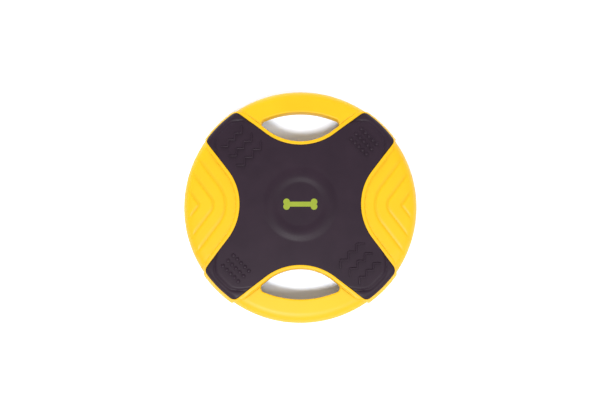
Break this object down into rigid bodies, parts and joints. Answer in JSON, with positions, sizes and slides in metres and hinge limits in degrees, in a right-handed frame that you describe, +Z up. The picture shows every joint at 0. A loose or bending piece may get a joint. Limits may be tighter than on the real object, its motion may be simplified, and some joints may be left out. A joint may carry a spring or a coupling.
{
  "type": "dog flying disc",
  "caption": "Soft throwing disc for dogs with two finger slots as carry handles, a raised dark rubber grip cross framed by a bead, and grooved side lobes.",
  "frame": {"origin": "on the floor under the disc's centre, where it lies on its rim with the closed side up", "axes": "+Z up through the centre of the disc, out of the patterned side; +Y and -Y through the finger slots; +X and -X through the closed side lobes; the arms of the cross on the diagonals, with zigzags on the arms at -X+Y and +X-Y and pimples on the other two"},
  "size_m": [0.23, 0.23, 0.0276],
  "materials": {
    "yellow_moulding": "matt thermoplastic rubber, fine moulded grain",
    "dark_rubber": "matt soft-touch rubber",
    "lime_ink": "matt pad print"
  },
  "bodies": {
    "root": {"disc_body": "yellow_moulding", "grip_cross": "dark_rubber", "bone_print": "lime_ink"}
  },
  "joints": []
}
